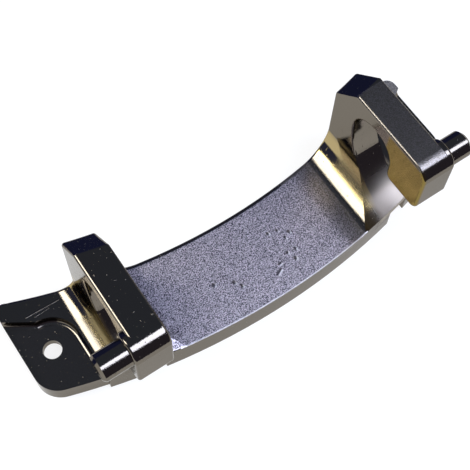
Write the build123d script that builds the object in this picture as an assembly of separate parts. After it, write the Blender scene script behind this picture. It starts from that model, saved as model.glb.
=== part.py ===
from build123d import *
import os
from math import sqrt

os.makedirs("parts", exist_ok=True)

# Frame: X runs along the hinge axis, Z up, the concave edge of the band on +Y.
# The origin is midway between the two screw holes, on the seat plane of the rim.

# Screw lugs
hole_pitch = 129.0
lug_reach = 8.5
screw_hole_diameter = 5.6
lug_floor = 6.8
lug_front_inset = 1.0
recess_radius = 8.8
recess_back = 13.5
recess_run_out = 2.0
recess_corner_round = 1.2

# Band: a sector of a flat ring that follows the door's edge
band_width = 30.0
band_inner_radius = 190.0
band_centre_y = 196.0
band_height = 10.0
web = 2.6
rim_wall = 3.0
front_corner_radius = 8.0
back_corner_radius = 3.0

# Arms: two goosenecks that carry the hinge pins
arm_spacing = 90.0
arm_thickness = 9.4
arm_top = 48.6
bridge_depth = 5.6
tip_drop = 19.2
tip_face_y = -29.1
tip_length = 13.5
tip_crest_radius = 4.9
tip_corner_radius = 2.4
heel_radius = 2.5
edge_round = 0.8

# Flat slope between the top of an arm and its rear face
slope_length = 8.8
slope_drop = 8.8
slope_rear_round = 2.5

# Opening between tip and band: a full round at the top, one long sweep at the back
gap_back_y = 0.4
gap_crown_share = 0.49
gap_sweep_share = 0.99
gap_step = 0.35

# Root fillets that carry each arm into the band
inner_root_radius = 10.0
outer_root_radius = 6.0
root_margin = 2.0

# Hinge pins
pin_radius = 4.0
left_pin_length = 8.6
right_pin_length = 7.2
pin_end_chamfer = 0.8
pin_set_back = 4.9
pin_drop = 5.3
boss_thickness = 1.6
boss_rear_round = 4.5

# Notches in the front rim below the tips
notch_width = 7.4
notch_shift = 2.6

# Ribs and solid blocks in the hollow underside
rib_thickness = 2.0
rib_spacing = 24.0
block_margin = 1.5
block_length = 22.0
block_y = -2.0

# Derived sizes, and the tolerance within which an edge counts as lying in a plane
near = 0.01
overlap = 2.0
band_outer_radius = band_inner_radius + band_width
band_half_length = hole_pitch / 2 + lug_reach
arm_inner_x = arm_spacing / 2 - arm_thickness / 2
arm_outer_x = arm_spacing / 2 + arm_thickness / 2
pin_y = tip_face_y + pin_set_back
pin_z = arm_top - pin_drop
tip_bottom = arm_top - tip_drop
tip_heel_y = tip_face_y + tip_length
gap_crown = arm_top - bridge_depth
gap_crown_radius = gap_crown_share * (gap_back_y - tip_heel_y)
gap_sweep_radius = gap_sweep_share * (gap_crown - gap_crown_radius - band_height)
recess_x = hole_pitch / 2 - recess_radius
neck_top = band_height + inner_root_radius + root_margin
front_y = tip_face_y - band_width
rear_y = band_width
span = 4 * band_half_length


def front_edge_y(x):
    """Y of the convex edge of the band at x."""
    return band_centre_y - sqrt(band_outer_radius**2 - x**2)


def ring_face(inner, outer, half_length):
    """Flat sector of a ring between two radii, cut square at both ends."""
    ring = Circle(outer) - Circle(inner)
    window = Pos(0, -band_centre_y) * Rectangle(2 * half_length, band_inner_radius)
    return Pos(0, band_centre_y) * (ring & window)


def ring_sector(inner, outer, half_length, low, high):
    """Solid sector of a ring between two heights."""
    return extrude(Pos(0, 0, low) * ring_face(inner, outer, half_length), high - low)


def end_corners(face, front):
    """Corners at the square ends of a flat ring sector, front or back pair."""
    end_x = face.bounding_box().max.X - near
    corners = [v for v in face.vertices() if abs(v.X) > end_x]
    mid = sum(v.Y for v in corners) / len(corners)
    return [v for v in corners if (v.Y < mid) == front]


def profile(points):
    """Flat face from corner points given as (y, z)."""
    return make_face(Polyline(*points, close=True))


def round_corner(face, y, z, radius):
    """Round the corner of a flat face nearest to (y, z)."""
    corner = face.vertices().sort_by_distance((y, z, 0))[0]
    return fillet(corner, radius)


def along_x(face, x_from, x_to):
    """Push a face drawn in (y, z) out along X."""
    return Pos(x_from, 0, 0) * extrude(Plane.YZ * face, x_to - x_from, dir=(1, 0, 0))


def side_edges(solid, x):
    """Edges of a solid that lie in the plane at x."""
    return [
        e
        for e in solid.edges()
        if e.bounding_box().size.X < near and abs(e.center().X - x) < near
    ]


# Band and lugs, square at the ends
band = ring_sector(band_inner_radius, band_outer_radius, band_half_length, 0, band_height)

# Necks that stand on the band, before the opening is cut
neck_ring = ring_sector(
    band_inner_radius, band_outer_radius, arm_outer_x, band_height - overlap, neck_top
)
for side in (-1, 1):
    band += neck_ring & (Pos(side * arm_spacing / 2, 0, 0) * Box(arm_thickness, span, span))


def root_edges(solid, x):
    """Edges where the side walls of the necks at x meet the band."""
    return [
        e
        for side in (-1, 1)
        for e in side_edges(solid, side * x)
        if abs(e.center().Z - band_height) < near and e.length > band_width / 2
    ]


band = fillet(root_edges(band, arm_inner_x), inner_root_radius)
band = fillet(root_edges(band, arm_outer_x), outer_root_radius)


def on_back_face(edge):
    """True for an edge that lies on the concave face of the band."""
    ends = [edge @ 0, edge @ 0.5, edge @ 1]
    return all(
        abs(sqrt(p.X**2 + (p.Y - band_centre_y) ** 2) - band_inner_radius) < near for p in ends
    )


back_edges = [
    e
    for e in band.edges()
    if on_back_face(e) and band_height - near < e.center().Z < neck_top - near
]
band = fillet(back_edges, edge_round)

# Rounded outline of the whole, with the lugs' front edge a little behind that of the band
outline = ring_face(band_inner_radius, band_outer_radius, band_half_length)
lug_front = ring_face(band_outer_radius - lug_front_inset, band_outer_radius + overlap, span)
outline -= lug_front - Rectangle(2 * recess_x, span)
outline = fillet(end_corners(outline, True), front_corner_radius)
outline = fillet(end_corners(outline, False), back_corner_radius)
band &= extrude(outline, neck_top + overlap)

# Opening: cut across each arm above the band, and its sweep across the root fillets
sweep_face = profile(
    [
        (front_y, band_height),
        (gap_back_y, band_height),
        (gap_back_y, arm_top),
        (front_y, arm_top),
    ]
)
sweep_face = round_corner(sweep_face, gap_back_y, band_height, gap_sweep_radius)
sweep = along_x(sweep_face, -arm_outer_x - inner_root_radius, arm_outer_x + inner_root_radius)
for side in (-1, 1):
    centre = Pos(side * arm_spacing / 2, 0, 0)
    band -= sweep & (centre * Box(arm_thickness + 2 * inner_root_radius, span, span))
    # under the arm itself the sweep lies a little deeper than in the fillets beside it
    band -= (Pos(0, 0, -gap_step) * sweep) & (centre * Box(arm_thickness, span, span))

# Arm: neck, bridge and tip in one outline
arm_face = profile(
    [
        (rear_y, band_height - gap_step),
        (rear_y, arm_top),
        (tip_face_y, arm_top),
        (tip_face_y, tip_bottom),
        (tip_heel_y, tip_bottom),
        (tip_heel_y, gap_crown),
        (gap_back_y, gap_crown),
        (gap_back_y, band_height - gap_step),
        (front_y, band_height - gap_step),
        (front_y, band_height - overlap),
        (rear_y, band_height - overlap),
    ]
)
arm_face = round_corner(arm_face, tip_face_y, arm_top, tip_crest_radius)
arm_face = round_corner(arm_face, tip_face_y, tip_bottom, tip_corner_radius)
arm_face = round_corner(arm_face, tip_heel_y, tip_bottom, heel_radius)
arm_face = round_corner(arm_face, tip_heel_y, gap_crown, gap_crown_radius)
arm_face = round_corner(arm_face, gap_back_y, gap_crown, gap_crown_radius)
arm_face = round_corner(arm_face, gap_back_y, band_height - gap_step, gap_sweep_radius)
arm = along_x(arm_face, arm_inner_x, arm_outer_x)
arm -= Pos(0, band_centre_y, 0) * Cylinder(band_inner_radius, span)
arm &= Pos(0, 0, neck_top + span / 2) * Box(span, span, span)



def rear_edge(z):
    """Edge of the arm across its thickness at height z on its rear face."""
    return [
        e
        for e in arm.edges()
        if abs(e.center().Z - z) < near
        and e.bounding_box().size.X > arm_thickness / 2
        and on_back_face(e)
    ]


# Flat slope that takes the top down to the rear face
top_face = arm.faces().sort_by(Axis.Z)[-1]
arm = chamfer(rear_edge(arm_top), slope_length, slope_drop, reference=top_face)
arm = fillet(rear_edge(arm_top - slope_drop), slope_rear_round)
for x in (arm_inner_x, arm_outer_x):
    rim = [e for e in side_edges(arm, x) if e.center().Z > neck_top + near]
    arm = fillet(rim, edge_round)

# Boss that carries the pin on the outside of the tip
boss_rear_y = pin_y + pin_set_back
boss_face = profile(
    [
        (tip_face_y, tip_bottom),
        (tip_face_y, arm_top),
        (boss_rear_y, arm_top),
        (boss_rear_y, tip_bottom),
    ]
)
boss_face = round_corner(boss_face, tip_face_y, arm_top, tip_crest_radius)
boss_face = round_corner(boss_face, boss_rear_y, arm_top, boss_rear_round)
boss_face = round_corner(boss_face, tip_face_y, tip_bottom, tip_corner_radius)
boss_face = round_corner(boss_face, boss_rear_y, tip_bottom, tip_corner_radius)
boss = along_x(boss_face, arm_outer_x - overlap, arm_outer_x + boss_thickness)
boss = fillet(side_edges(boss, arm_outer_x + boss_thickness), edge_round)


def hinge_pin(length):
    """Pin of the right arm, standing out of its boss by a length."""
    pin = extrude(Plane.YZ * Circle(pin_radius), length + overlap)
    pin_end = pin.edges().filter_by(GeomType.CIRCLE).sort_by(Axis.X)[-1]
    pin = chamfer(pin_end, pin_end_chamfer)
    return Pos(arm_outer_x + boss_thickness - overlap, pin_y, pin_z) * pin


right_arm = arm + boss + hinge_pin(right_pin_length)
left_arm = mirror(arm + boss + hinge_pin(left_pin_length), about=Plane.YZ)

hinge = band + right_arm + left_arm

# Hollow underside, shallower below the lugs, with ribs and a solid block below each arm
hollow_inner = band_inner_radius + rim_wall
hollow_outer = band_outer_radius - rim_wall
lug_hollow_top = lug_floor - web
hollow_face = ring_face(hollow_inner, hollow_outer, band_half_length - rim_wall)
hollow_face = fillet(end_corners(hollow_face, True), front_corner_radius - rim_wall)
hollow = extrude(hollow_face, lug_hollow_top)
hollow += ring_sector(hollow_inner, hollow_outer, recess_x - web, 0, band_height - web)
for x in (-rib_spacing, 0, rib_spacing):
    hollow -= Pos(x, 0, 0) * Box(rib_thickness, span, span)
for x in (-arm_spacing / 2, arm_spacing / 2):
    hollow -= Pos(x, block_y, 0) * Box(arm_thickness + 2 * block_margin, block_length, span)
hinge -= hollow

# Screw holes, and the lowered floor of each lug with its curved step at the back
for side in (-1, 1):
    x = side * hole_pitch / 2
    lug_end = side * (band_half_length + overlap)
    seat = Circle(recess_radius)
    seat += make_face(
        Polyline(
            (0, recess_radius),
            (side * (recess_x - hole_pitch / 2), 0),
            (side * (recess_x - hole_pitch / 2), -band_width),
            (lug_end - x, -band_width),
            (lug_end - x, recess_back + recess_run_out),
            close=True,
        )
    )
    pocket = extrude(Pos(x, 0, lug_floor) * seat, neck_top)
    pocket_floor = [e for e in pocket.edges() if abs(e.center().Z - lug_floor) < near]
    hinge -= fillet(pocket_floor, recess_corner_round)
    hinge -= Pos(x, 0, 0) * Cylinder(screw_hole_diameter / 2, 2 * neck_top)

# Notches in the front rim
for x in (-arm_spacing / 2 + notch_shift, arm_spacing / 2 + notch_shift):
    notch = Pos(x, front_edge_y(x) - overlap, (band_height - web) / 2)
    hinge -= notch * Box(notch_width, 4 * rim_wall + overlap, band_height - web)

hinge = hinge.solids()[0]
hinge.label = "hinge_casting"
export_step(hinge, "parts/hinge_casting.step")
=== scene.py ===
"""Washing machine door hinge: one plated die casting on a pale floor."""

from __future__ import annotations

import logging
from abc import ABC, abstractmethod
from collections.abc import Sequence
from dataclasses import dataclass, field
from enum import Enum
from math import radians

import bpy
from mathutils import Euler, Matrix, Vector


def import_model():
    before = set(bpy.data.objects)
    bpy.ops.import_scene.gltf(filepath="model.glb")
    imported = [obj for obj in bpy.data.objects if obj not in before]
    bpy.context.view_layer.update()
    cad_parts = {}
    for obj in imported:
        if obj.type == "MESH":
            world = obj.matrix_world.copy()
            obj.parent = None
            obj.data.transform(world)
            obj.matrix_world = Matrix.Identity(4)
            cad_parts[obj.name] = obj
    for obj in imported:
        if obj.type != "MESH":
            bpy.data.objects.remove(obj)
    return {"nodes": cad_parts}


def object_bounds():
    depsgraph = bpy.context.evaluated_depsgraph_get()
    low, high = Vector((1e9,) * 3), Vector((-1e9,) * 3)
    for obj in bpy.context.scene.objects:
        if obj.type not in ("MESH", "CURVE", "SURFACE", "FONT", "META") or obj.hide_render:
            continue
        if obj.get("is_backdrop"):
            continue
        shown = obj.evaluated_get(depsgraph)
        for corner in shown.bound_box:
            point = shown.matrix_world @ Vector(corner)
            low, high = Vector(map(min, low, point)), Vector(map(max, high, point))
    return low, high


Colour = tuple[float, float, float]
Point = tuple[float, float, float]
Span = tuple[float, float]

log = logging.getLogger("door_hinge")


class Surroundings(Enum):
    """Brightness zones of the room, as (height of the direction, colour)."""

    HORIZON = (0.24, (1.0, 1.0, 1.0))
    UPPER_WALL = (0.42, (0.110, 0.119, 0.162))
    CEILING = (0.80, (0.095, 0.115, 0.170))


def opaque(colour: Colour) -> tuple[float, float, float, float]:
    """Add full opacity to a colour, as shader sockets need it.

    Args:
        colour: red, green and blue.

    Returns:
        Red, green, blue and 1.
    """
    return (*colour, 1.0)


def put_in_scene(name: str, data: bpy.types.ID) -> bpy.types.Object:
    """Make an object of a mesh, lamp or camera and add it to the scene.

    Args:
        name: the object's name.
        data: the mesh, lamp or camera.

    Returns:
        The new object.
    """
    thing = bpy.data.objects.new(name, data)
    bpy.context.scene.collection.objects.link(thing)
    return thing


def panel(name: str, corners: list[Point], material: bpy.types.Material) -> bpy.types.Object:
    """Make a flat panel with four corners.

    Args:
        name: the panel's name.
        corners: its corners in order, in metres.
        material: what it is made of.

    Returns:
        The panel object.
    """
    mesh = bpy.data.meshes.new(name)
    mesh.from_pydata(corners, [], [(0, 1, 2, 3)])
    mesh.materials.append(material)
    return put_in_scene(name, mesh)


class NodeBuilder:
    """Short way to add and join shader nodes in one tree."""

    noise_roughness = 0.65

    def __init__(self, tree: bpy.types.NodeTree) -> None:
        """Start with an empty tree.

        Args:
            tree: the tree that the nodes go into. Its nodes are removed.
        """
        self.tree = tree
        tree.nodes.clear()

    def add(self, kind: str, **settings: object) -> bpy.types.Node:
        """Add a node.

        Args:
            kind: the node's type name.
            settings: properties set on the node by name.

        Returns:
            The new node.
        """
        node = self.tree.nodes.new(kind)
        for name, value in settings.items():
            setattr(node, name, value)
        return node

    def join(self, source: bpy.types.NodeSocket, target: bpy.types.NodeSocket) -> None:
        """Link two sockets.

        Args:
            source: the output.
            target: the input.
        """
        self.tree.links.new(source, target)

    def feed(self, socket: bpy.types.NodeSocket, value: object) -> None:
        """Link an input, or set its value.

        Args:
            socket: the input.
            value: an output socket, a number, a vector or a colour.
        """
        if isinstance(value, bpy.types.NodeSocket):
            self.join(value, socket)
        else:
            socket.default_value = value

    def math(self, operation: str, first: object, second: object) -> bpy.types.NodeSocket:
        """Work out a number from two others.

        Args:
            operation: the Math node's operation.
            first: a socket or a number.
            second: a socket or a number.

        Returns:
            The result.
        """
        node = self.add("ShaderNodeMath", operation=operation)
        for socket, value in zip(node.inputs, (first, second)):
            self.feed(socket, value)
        return node.outputs["Value"]

    def vector(
        self, operation: str, first: object, second: object = (0.0, 0.0, 0.0)
    ) -> bpy.types.NodeSocket:
        """Work out a vector from one or two others, or its length or dot product.

        Args:
            operation: the Vector Math node's operation.
            first: a socket or three numbers.
            second: a socket or three numbers.

        Returns:
            The result, a number for LENGTH and DOT_PRODUCT.
        """
        node = self.add("ShaderNodeVectorMath", operation=operation)
        for socket, value in zip(node.inputs, (first, second)):
            self.feed(socket, value)
        return node.outputs["Value" if operation in ("LENGTH", "DOT_PRODUCT") else "Vector"]

    def scaled(self, vector: Point, factor: bpy.types.NodeSocket) -> bpy.types.NodeSocket:
        """Make a fixed vector longer or shorter.

        Args:
            vector: the vector at full length.
            factor: the share of its length.

        Returns:
            The scaled vector.
        """
        # A MULTIPLY node would turn the number into a vector first, and the plating then rendered black.
        node = self.add("ShaderNodeVectorMath", operation="SCALE")
        node.inputs[0].default_value = vector
        self.join(factor, node.inputs["Scale"])
        return node.outputs["Vector"]

    def split(self, vector: bpy.types.NodeSocket) -> list[bpy.types.NodeSocket]:
        """Take a vector apart.

        Args:
            vector: the vector.

        Returns:
            Its X, Y and Z.
        """
        node = self.add("ShaderNodeSeparateXYZ")
        self.join(vector, node.inputs["Vector"])
        return [node.outputs[axis] for axis in "XYZ"]

    def fold(self, place: bpy.types.NodeSocket) -> bpy.types.NodeSocket:
        """Mirror the left half onto the right, so that one region serves both arms.

        Args:
            place: position on the casting.

        Returns:
            The position with its X made positive.
        """
        across, along, up = self.split(place)
        folded = self.add("ShaderNodeCombineXYZ")
        self.join(self.math("ABSOLUTE", across, 0.0), folded.inputs["X"])
        self.join(along, folded.inputs["Y"])
        self.join(up, folded.inputs["Z"])
        return folded.outputs["Vector"]

    def fade(self, value: bpy.types.NodeSocket, start: float, end: float) -> bpy.types.NodeSocket:
        """Turn a value smoothly into 0 at start and 1 at end.

        Args:
            value: the value that is measured.
            start: where the result is 0.
            end: where the result is 1.

        Returns:
            The result, from 0 to 1.
        """
        node = self.add("ShaderNodeMapRange", interpolation_type="SMOOTHSTEP")
        self.join(value, node.inputs["Value"])
        node.inputs["From Min"].default_value = start
        node.inputs["From Max"].default_value = end
        return node.outputs["Result"]

    def stretch(self, share: bpy.types.NodeSocket, low: float, high: float) -> bpy.types.NodeSocket:
        """Turn a share evenly into a value between two others.

        Args:
            share: a number from 0 to 1.
            low: the result at 0.
            high: the result at 1.

        Returns:
            The result.
        """
        node = self.add("ShaderNodeMapRange")
        self.join(share, node.inputs["Value"])
        node.inputs["To Min"].default_value = low
        node.inputs["To Max"].default_value = high
        return node.outputs["Result"]

    def noise(self, place: bpy.types.NodeSocket, scale: float, octaves: float) -> bpy.types.NodeSocket:
        """Add an even noise.

        Args:
            place: position on the casting.
            scale: cells per metre.
            octaves: layers of finer noise.

        Returns:
            The noise value, about 0.5 on average.
        """
        node = self.add("ShaderNodeTexNoise")
        self.join(place, node.inputs["Vector"])
        node.inputs["Scale"].default_value = scale
        node.inputs["Detail"].default_value = octaves
        node.inputs["Roughness"].default_value = self.noise_roughness
        return node.outputs["Fac"]

    def most(self, masks: Sequence[bpy.types.NodeSocket]) -> bpy.types.NodeSocket:
        """Take the strongest of some masks at each point.

        Args:
            masks: the masks.

        Returns:
            The strongest one.
        """
        strongest = masks[0]
        for mask in masks[1:]:
            strongest = self.math("MAXIMUM", strongest, mask)
        return strongest

    def gather(
        self, operation: str, regions: Sequence[Region], place: bpy.types.NodeSocket
    ) -> bpy.types.NodeSocket:
        """Join the masks of some regions into one.

        Args:
            operation: MAXIMUM for what lies in any region, MULTIPLY for what lies in all of them.
            regions: the regions.
            place: position on the casting.

        Returns:
            The joined mask.
        """
        joined = regions[0].mask(self, place)
        for region in regions[1:]:
            joined = self.math(operation, joined, region.mask(self, place))
        return joined

    def blend(self, factor: object, first: object, second: object) -> bpy.types.NodeSocket:
        """Blend two colours.

        Args:
            factor: share of the second colour, a socket or a number.
            first: a socket or a colour with opacity.
            second: a socket or a colour with opacity.

        Returns:
            The blended colour.
        """
        node = self.add("ShaderNodeMix", data_type="RGBA")
        self.feed(node.inputs["Factor"], factor)
        self.feed(node.inputs["A"], first)
        self.feed(node.inputs["B"], second)
        return node.outputs["Result"]


def new_material(name: str) -> tuple[bpy.types.Material, NodeBuilder, bpy.types.Node]:
    """Start a material with a single Principled BSDF.

    Args:
        name: the material's name.

    Returns:
        The material, the builder of its nodes and its shader.
    """
    material = bpy.data.materials.new(name)
    material.use_nodes = True
    build = NodeBuilder(material.node_tree)
    output = build.add("ShaderNodeOutputMaterial")
    shader = build.add("ShaderNodeBsdfPrincipled")
    build.join(shader.outputs["BSDF"], output.inputs["Surface"])
    return material, build, shader


@dataclass(frozen=True)
class Softbox:
    """A rectangular studio lamp that faces the hinge."""

    name: str
    direction: Point
    distance: float
    width: float
    height: float
    watts: float
    colour: Colour

    def build(self, target: Vector) -> bpy.types.Object:
        """Place the lamp and turn it to the hinge.

        Args:
            target: the point that the lamp faces, in metres.

        Returns:
            The lamp object.
        """
        lamp = bpy.data.lights.new(self.name, "AREA")
        lamp.shape = "RECTANGLE"
        lamp.size = self.width
        lamp.size_y = self.height
        lamp.energy = self.watts
        lamp.color = self.colour
        lamp_object = put_in_scene(self.name, lamp)
        toward = Vector(self.direction).normalized()
        lamp_object.location = target + toward * self.distance
        lamp_object.rotation_euler = toward.to_track_quat("Z", "Y").to_euler()
        return lamp_object


@dataclass(frozen=True)
class Flag:
    """A dark upright card that only reflections show, as used beside bright metal."""

    name: str
    distance: float
    width: float
    height: float
    colour: Colour

    def build(self) -> bpy.types.Object:
        """Stand the card on the floor.

        Returns:
            The card object.
        """
        half = self.width / 2
        corners = [(-half, 0, 0), (half, 0, 0), (half, 0, self.height), (-half, 0, self.height)]
        card = panel(self.name, corners, self.cloth())
        card.location.y = self.distance
        card.visible_camera = False
        card.visible_diffuse = False
        card.visible_shadow = False
        return card

    def cloth(self) -> bpy.types.Material:
        """Build the card's dark cloth, at an even brightness.

        Returns:
            The cloth's material.
        """
        material, _, shader = new_material(f"{self.name}_cloth")
        shader.inputs["Base Color"].default_value = (0.0, 0.0, 0.0, 1.0)
        shader.inputs["Roughness"].default_value = 1.0
        shader.inputs["Specular IOR Level"].default_value = 0.0
        shader.inputs["Emission Color"].default_value = opaque(self.colour)
        shader.inputs["Emission Strength"].default_value = 1.0
        return material


class Region(ABC):
    """A region of the casting's surface that has a finish of its own."""

    @abstractmethod
    def mask(self, build: NodeBuilder, place: bpy.types.NodeSocket) -> bpy.types.NodeSocket:
        """Mask of the region.

        Args:
            build: adds the nodes.
            place: position on the casting.

        Returns:
            The mask, 0 outside the region.
        """


@dataclass(frozen=True)
class Patch(Region):
    """A box-shaped region with a soft border round it."""

    low: Point
    high: Point
    border: float = 0.0008
    share: float = 1.0

    def mask(self, build: NodeBuilder, place: bpy.types.NodeSocket) -> bpy.types.NodeSocket:
        """Mask of the box, from how far a point lies beyond its sides.

        Args:
            build: adds the nodes.
            place: position on the casting.

        Returns:
            The mask, the share inside and 0 beyond the border.
        """
        centre = tuple((a + b) / 2 for a, b in zip(self.low, self.high))
        half = tuple((b - a) / 2 for a, b in zip(self.low, self.high))
        away = build.vector("ABSOLUTE", build.vector("SUBTRACT", place, centre))
        beyond = build.most(build.split(build.vector("SUBTRACT", away, half)))
        return build.math("MULTIPLY", build.fade(beyond, self.border, 0.0), self.share)


@dataclass(frozen=True)
class RingArea(Region):
    """The region between two radii round an upright axis, at any height."""

    centre_y: float
    inner_radius: float
    outer_radius: float
    border: float

    def mask(self, build: NodeBuilder, place: bpy.types.NodeSocket) -> bpy.types.NodeSocket:
        """Mask of the ring, from the distance to its axis.

        Args:
            build: adds the nodes.
            place: position on the casting.

        Returns:
            The mask, 1 between the two radii but for a soft border inside them.
        """
        level = build.vector("MULTIPLY", place, (1.0, 1.0, 0.0))
        radius = build.vector("LENGTH", build.vector("SUBTRACT", level, (0.0, self.centre_y, 0.0)))
        outside = build.fade(radius, self.outer_radius, self.outer_radius - self.border)
        inside = build.fade(radius, self.inner_radius, self.inner_radius + self.border)
        return build.math("MULTIPLY", inside, outside)


@dataclass(frozen=True)
class Scratch(Region):
    """A short straight mark on the casting's top level, soft at its edges."""

    start: Span
    end: Span
    width: float
    level: float = 0.010
    core: float = 0.2

    def mask(self, build: NodeBuilder, place: bpy.types.NodeSocket) -> bpy.types.NodeSocket:
        """Mask of the mark, from the distance to its middle line.

        Args:
            build: adds the nodes.
            place: position on the casting.

        Returns:
            The mask, 1 in the core and 0 at the width.
        """
        start = Vector((*self.start, self.level))
        run = Vector((*self.end, self.level)) - start
        offset = build.vector("SUBTRACT", place, tuple(start))
        share = build.add("ShaderNodeClamp")
        along = build.vector("DOT_PRODUCT", offset, tuple(run / run.length_squared))
        build.join(along, share.inputs["Value"])
        foot = build.scaled(tuple(run), share.outputs["Result"])
        distance = build.vector("LENGTH", build.vector("SUBTRACT", offset, foot))
        return build.fade(distance, self.width, self.width * self.core)


@dataclass(frozen=True)
class Tint:
    """A region where a reflection is painted into the plating's colour."""

    patch: Patch
    colour: Colour


@dataclass(frozen=True)
class SurfaceMasks:
    """Where the plating differs from plain polish, each mask from 0 to 1."""

    grained: bpy.types.NodeSocket
    # Painted highlight along the band's front edge.
    edge_highlight: bpy.types.NodeSocket
    # The pits: sunk in the relief and darkened with painted shade.
    pitted: bpy.types.NodeSocket
    # Painted highlight on the lit side of each pit.
    pit_highlights: bpy.types.NodeSocket
    scratched: bpy.types.NodeSocket
    mottled: bpy.types.NodeSocket


@dataclass(frozen=True)
class PlatedFinish:
    """Bright nickel plating over a zinc casting, with a grained face on the band, and with reflections,
    highlights and shade painted into its colour in places.
    """

    colour: Colour = (0.170, 0.149, 0.120)
    edge_tint: Colour = (0.66, 0.65, 0.63)
    mottled_colour: Colour = (0.31, 0.285, 0.27)
    grained_dark: Colour = (0.045, 0.041, 0.050)
    grained_light: Colour = (0.82, 0.75, 0.80)
    # Colour of the painted highlight along the band's front edge and beside the pits.
    edge_highlight_colour: Colour = (0.93, 0.90, 0.92)
    # Colour of the painted shade in the pits.
    pit_shade_colour: Colour = (0.030, 0.028, 0.032)
    polished_roughness: float = 0.08
    grained_roughness: float = 0.42
    grain_scale: float = 2900.0
    grain_octaves: float = 3.0
    grain_fade: Span = (0.36, 0.64)
    grain_depth: float = 0.00010
    fine_grain: float = 0.11
    crystal_scale: float = 3900.0
    crystal_fade: Span = (0.35, 1.65)
    speck_scale: float = 1300.0
    speck_octaves: float = 1.0
    speck_fade: Span = (0.70, 0.775)
    speck_dullness: float = 0.6
    scratch_dullness: float = 0.9
    ripple_scale: float = 90.0
    ripple_octaves: float = 2.0
    ripple_depth: float = 0.00003
    pit_depth: float = 0.00040
    # Strength of the painted shade in the pits.
    pit_shade_share: float = 0.75
    # Offset to the lit side of each pit, where a highlight is painted.
    pit_highlight_offset: Point = (-0.00030, 0.00060, 0.0)
    grained_regions: tuple[Region, ...] = (
        Patch((-0.0370, -0.040, 0.0090), (0.0235, 0.0200, 0.0108), 0.0105),
        RingArea(0.1960, 0.1910, 0.2199, 0.0004),
        Patch((-0.0500, -0.0400, 0.0094), (0.0500, 0.0300, 0.0180), 0.0004),
    )
    # The band's front edge, where a highlight is painted and the plating is rougher.
    edge_highlight_regions: tuple[Region, ...] = (
        Patch((-0.0340, -0.040, 0.00985), (0.0330, 0.0200, 0.0104), 0.00025),
        RingArea(0.1960, 0.21955, 0.2210, 0.00020),
    )
    foot_patch: Patch = Patch((0.0406, -0.040, 0.0085), (0.0494, -0.0020, 0.0135), 0.0070, 0.7)
    # The right lug's top: rougher, with a lighter reflection painted on it.
    right_lug_patch: Patch = Patch((0.0640, 0.0080, 0.0098), (0.0760, 0.0240, 0.0104), 0.0014)
    mottled_patches: tuple[Patch, ...] = (
        Patch((0.0408, -0.0265, 0.0480), (0.0492, 0.0020, 0.0490), 0.0006, 0.60),
        Patch((0.0210, -0.0400, 0.0090), (0.0314, 0.0200, 0.0104), 0.0020, 0.75),
        Patch((-0.0700, -0.0180, 0.0060), (-0.0590, 0.0080, 0.0104), 0.0040, 0.12),
    )
    # Reflections painted into the colour: gold on two root fillets, dark gold on the right hook's face,
    # lighter on the right lug's top and on the right hook's foot.
    painted_reflections: tuple[Tint, ...] = (
        Tint(Patch((0.0300, -0.0300, 0.0118), (0.0400, 0.0200, 0.0190)), (0.42, 0.33, 0.16)),
        Tint(Patch((-0.0555, -0.0300, 0.0114), (-0.0495, 0.0200, 0.0210)), (0.42, 0.33, 0.16)),
        Tint(right_lug_patch, (0.40, 0.37, 0.32)),
        Tint(Patch((0.0395, -0.0300, 0.0285), (0.0404, -0.0135, 0.0470), 0.0010), (0.235, 0.170, 0.045)),
        Tint(Patch((0.0406, -0.0400, 0.0085), (0.0494, -0.0110, 0.0112), 0.0030), (0.36, 0.31, 0.25)),
    )
    pits: tuple[Scratch, ...] = (
        Scratch((0.0051, -0.0151), (0.0045, -0.0152), 0.0005),
        Scratch((0.0040, -0.0168), (0.0022, -0.0177), 0.00045),
        Scratch((0.0099, -0.0159), (0.0098, -0.0164), 0.0006),
        Scratch((0.0088, -0.0133), (0.0087, -0.0136), 0.0005),
        Scratch((0.0116, -0.0135), (0.0115, -0.0138), 0.0005),
        Scratch((0.0131, -0.0077), (0.0132, -0.0082), 0.0005),
        Scratch((0.0075, -0.0048), (0.0074, -0.0053), 0.00045),
        Scratch((0.0104, -0.0055), (0.0104, -0.0059), 0.0004),
        Scratch((-0.0100, -0.0124), (-0.0099, -0.0128), 0.0006),
        Scratch((-0.0086, -0.0144), (-0.0086, -0.0150), 0.0005),
        Scratch((-0.0155, -0.0097), (-0.0154, -0.0102), 0.0005),
        Scratch((0.0111, -0.0088), (0.0111, -0.0092), 0.0004),
    )
    scratches: tuple[Scratch, ...] = (
        Scratch((-0.0662, 0.0114), (-0.0555, 0.0111), 0.00017),
        Scratch((-0.0640, 0.0102), (-0.0592, 0.0104), 0.00014),
        Scratch((0.0061, -0.0151), (0.0088, -0.0144), 0.00022),
    )

    def make(self) -> bpy.types.Material:
        """Build the plating as a material.

        Returns:
            The finished material.
        """
        material, build, shader = new_material("nickel_plating")
        shader.inputs["Metallic"].default_value = 1.0
        shader.inputs["Specular Tint"].default_value = opaque(self.edge_tint)
        place = build.add("ShaderNodeTexCoord").outputs["Object"]
        grain = build.noise(place, self.grain_scale, self.grain_octaves)
        masks = self.masks(build, place)
        dull = self.dullness(build, place, masks)
        build.join(self.tone(build, place, masks, grain), shader.inputs["Base Color"])
        roughness = build.stretch(dull, self.polished_roughness, self.grained_roughness)
        build.join(roughness, shader.inputs["Roughness"])
        build.join(self.relief(build, place, masks, grain, dull), shader.inputs["Normal"])
        return material

    def masks(self, build: NodeBuilder, place: bpy.types.NodeSocket) -> SurfaceMasks:
        """Find where the plating is grained, pitted (with painted shade), scratched and mottled, and where
        highlights are painted along the band's front edge and beside the pits.

        Args:
            build: adds the nodes.
            place: position on the casting.

        Returns:
            The masks.
        """
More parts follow.
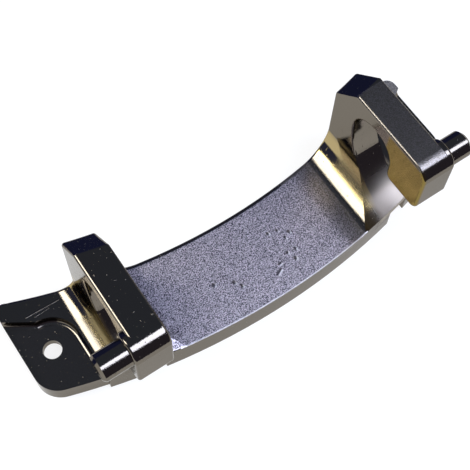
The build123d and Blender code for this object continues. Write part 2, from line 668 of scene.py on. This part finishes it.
        # Positions moved to the lit side of each pit, where a highlight is painted.
        beside = build.vector("ADD", place, self.pit_highlight_offset)
        return SurfaceMasks(
            grained=build.gather("MULTIPLY", self.grained_regions, place),
            edge_highlight=build.gather("MULTIPLY", self.edge_highlight_regions, place),
            pitted=build.gather("MAXIMUM", self.pits, place),
            pit_highlights=build.gather("MAXIMUM", self.pits, beside),
            scratched=build.gather("MAXIMUM", self.scratches, place),
            mottled=build.gather("MAXIMUM", self.mottled_patches, place),
        )

    def tone(
        self,
        build: NodeBuilder,
        place: bpy.types.NodeSocket,
        masks: SurfaceMasks,
        grain: bpy.types.NodeSocket,
    ) -> bpy.types.NodeSocket:
        """Colour the plating: plain, with painted reflections, mottled, grained, with a painted highlight
        along the band's front edge and beside each pit, and with painted shade in each pit.

        Args:
            build: adds the nodes.
            place: position on the casting.
            masks: where the plating differs from plain polish.
            grain: the fine noise of the blasted face.

        Returns:
            The colour.
        """
        cells = build.add("ShaderNodeTexVoronoi")
        build.join(place, cells.inputs["Vector"])
        cells.inputs["Scale"].default_value = self.crystal_scale
        shades = build.add("ShaderNodeSeparateColor")
        build.join(cells.outputs["Color"], shades.inputs["Color"])
        uneven = build.math("ADD", shades.outputs["Red"], build.fade(grain, *self.grain_fade))
        crystals = build.fade(uneven, *self.crystal_fade)

        # The plating's colour, with reflections painted into it in their patches.
        plating = opaque(self.colour)
        for reflection_spot in self.painted_reflections:
            plating = build.blend(reflection_spot.patch.mask(build, place), plating, opaque(reflection_spot.colour))
        mottle = build.math("MULTIPLY", masks.mottled, crystals)
        plating = build.blend(mottle, plating, opaque(self.mottled_colour))
        blasted = build.blend(crystals, opaque(self.grained_dark), opaque(self.grained_light))
        surface = build.blend(masks.grained, plating, blasted)
        # Painted highlight along the band's front edge and on the lit side of each pit.
        bright = build.math("MAXIMUM", masks.edge_highlight, build.math("MULTIPLY", masks.pit_highlights, masks.grained))
        surface = build.blend(bright, surface, opaque(self.edge_highlight_colour))
        # Painted shade in each pit.
        pit_shade = build.math("MULTIPLY", masks.pitted, self.pit_shade_share)
        return build.blend(pit_shade, surface, opaque(self.pit_shade_colour))

    def dullness(
        self, build: NodeBuilder, place: bpy.types.NodeSocket, masks: SurfaceMasks
    ) -> bpy.types.NodeSocket:
        """Say how far the plating is from a mirror.

        Args:
            build: adds the nodes.
            place: position on the casting.
            masks: where the plating differs from plain polish.

        Returns:
            The dullness, from 0 on polish to 1 on the blasted face.
        """
        specks = build.fade(build.noise(place, self.speck_scale, self.speck_octaves), *self.speck_fade)
        return build.most([
            self.foot_patch.mask(build, build.fold(place)),
            self.right_lug_patch.mask(build, place),
            masks.mottled,
            masks.edge_highlight,
            build.math("MULTIPLY", specks, self.speck_dullness),
            build.math("MULTIPLY", masks.scratched, self.scratch_dullness),
            masks.grained,
        ])

    def relief(
        self,
        build: NodeBuilder,
        place: bpy.types.NodeSocket,
        masks: SurfaceMasks,
        grain: bpy.types.NodeSocket,
        dull: bpy.types.NodeSocket,
    ) -> bpy.types.NodeSocket:
        """Raise the grain, ripple the polish and sink the pits.

        Args:
            build: adds the nodes.
            place: position on the casting.
            masks: where the plating differs from plain polish.
            grain: the fine noise of the blasted face.
            dull: how far the plating is from a mirror.

        Returns:
            The surface's direction.
        """
        textured = build.math("MAXIMUM", dull, self.fine_grain)
        height = build.math("MULTIPLY", build.math("MULTIPLY", grain, textured), self.grain_depth)
        ripple = build.noise(place, self.ripple_scale, self.ripple_octaves)
        wave = build.math("MULTIPLY", ripple, self.ripple_depth)
        dents = build.math("MULTIPLY", masks.pitted, self.pit_depth)
        bump = build.add("ShaderNodeBump")
        bump.inputs["Distance"].default_value = 1.0
        build.join(build.math("SUBTRACT", build.math("ADD", height, wave), dents), bump.inputs["Height"])
        return bump.outputs["Normal"]


@dataclass
class HingeCasting:
    """The cast hinge itself: band, lugs, arms and pins in one piece."""

    node: str = "hinge_casting"
    finish: PlatedFinish = field(default_factory=PlatedFinish)

    def dress(self, nodes: dict[str, bpy.types.Object]) -> bpy.types.Object:
        """Give the casting its plating.

        Args:
            nodes: the frame's objects by node name.

        Returns:
            The casting's object.
        """
        casting = nodes[self.node]
        plating = self.finish.make()
        for slot in casting.material_slots:
            slot.material = plating
        return casting


@dataclass
class Studio:
    """Floor, room and lamps around the hinge."""

    floor_half: float = 3.0
    floor_gap: float = 0.00005
    floor_colour: Colour = (0.22, 0.22, 0.215)
    floor_roughness: float = 0.9
    floor_lift: float = 0.84
    softboxes: tuple[Softbox, ...] = (
        Softbox("front_softbox", (0.27, -0.44, 0.86), 1.0, 0.66, 0.56, 8.4, (0.84, 0.93, 1.24)),
        Softbox("left_softbox", (-0.56, 0.36, 0.74), 1.0, 0.31, 0.72, 6.0, (1.0, 0.99, 0.94)),
    )
    flags: tuple[Flag, ...] = (
        Flag("back_flag", 0.075, 0.60, 0.11, (0.034, 0.044, 0.150)),
        Flag("front_flag", -0.110, 0.40, 0.115, (0.075, 0.068, 0.100)),
    )

    def floor_material(self) -> bpy.types.Material:
        """Pale floor that shows white and keeps the hinge's shadow.

        Returns:
            The floor's material.
        """
        material, build, shader = new_material("pale_floor")
        shader.inputs["Base Color"].default_value = opaque(self.floor_colour)
        shader.inputs["Roughness"].default_value = self.floor_roughness
        shader.inputs["Specular IOR Level"].default_value = 0.0
        shader.inputs["Emission Color"].default_value = (1.0, 1.0, 1.0, 1.0)
        rays = build.add("ShaderNodeLightPath")
        seen = build.most([rays.outputs[f"Is {kind} Ray"] for kind in ("Camera", "Glossy", "Transmission")])
        build.join(build.math("MULTIPLY", seen, self.floor_lift), shader.inputs["Emission Strength"])
        return material

    def floor(self) -> bpy.types.Object:
        """Lay the floor just under the hinge.

        Returns:
            The floor object.
        """
        half = self.floor_half
        corners = [(-half, -half, 0), (half, -half, 0), (half, half, 0), (-half, half, 0)]
        floor = panel("floor", corners, self.floor_material())
        floor.location.z = -self.floor_gap
        return floor

    def room(self) -> None:
        """Colour the room: pale low walls under a dark ceiling."""
        world = bpy.data.worlds.new("studio_room")
        bpy.context.scene.world = world
        world.use_nodes = True
        build = NodeBuilder(world.node_tree)
        upward = build.split(build.add("ShaderNodeTexCoord").outputs["Generated"])[2]
        height = build.add("ShaderNodeMapRange")
        build.join(upward, height.inputs["Value"])
        height.inputs["From Min"].default_value = -1.0
        ramp = build.add("ShaderNodeValToRGB")
        build.join(height.outputs["Result"], ramp.inputs["Fac"])
        stops = ramp.color_ramp.elements
        for index, zone in enumerate(Surroundings):
            level, colour = zone.value
            stop = stops[index] if index < len(stops) else stops.new(1.0)
            stop.position = (level + 1) / 2
            stop.color = opaque(colour)
        background = build.add("ShaderNodeBackground")
        build.join(ramp.outputs["Color"], background.inputs["Color"])
        output = build.add("ShaderNodeOutputWorld")
        build.join(background.outputs["Background"], output.inputs["Surface"])

    def build(self, target: Vector) -> None:
        """Set up floor, room, lamps and flags.

        Args:
            target: the point that the lamps face.
        """
        self.floor()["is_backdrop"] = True
        self.room()
        for softbox in self.softboxes:
            softbox.build(target)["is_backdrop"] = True
        for flag in self.flags:
            flag.build()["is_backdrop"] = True


@dataclass(frozen=True)
class HingeCamera:
    """Camera above the left lug, looking down along the band."""

    location: Point = (-0.07754, -0.10205, 0.28072)
    rotation_degrees: Point = (25.184, -1.266, -34.188)
    focal_length: float = 75.97
    sensor_width: float = 36.0
    nearest: float = 0.01

    def build(self) -> bpy.types.Object:
        """Create the camera and make it the scene's own.

        Returns:
            The camera object.
        """
        camera = bpy.data.cameras.new("hinge_camera")
        camera.lens = self.focal_length
        camera.sensor_width = self.sensor_width
        camera.clip_start = self.nearest
        camera_object = put_in_scene("hinge_camera", camera)
        camera_object.location = self.location
        camera_object.rotation_euler = Euler([radians(angle) for angle in self.rotation_degrees])
        bpy.context.scene.camera = camera_object
        return camera_object


def main() -> None:
    """Dress the frame, light it round its bounds and place the camera."""
    logging.basicConfig(level=logging.INFO)
    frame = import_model()
    cad_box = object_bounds()
    bpy.context.scene.view_settings.view_transform = "Standard"

    casting = HingeCasting().dress(frame["nodes"])
    log.info("dressed %s", casting.name)
    low, high = (Vector(corner) for corner in cad_box)
    Studio().build((low + high) / 2)
    log.info("studio ready")
    camera = HingeCamera().build()
    log.info("placed %s", camera.name)


if __name__ == "__main__":
    main()
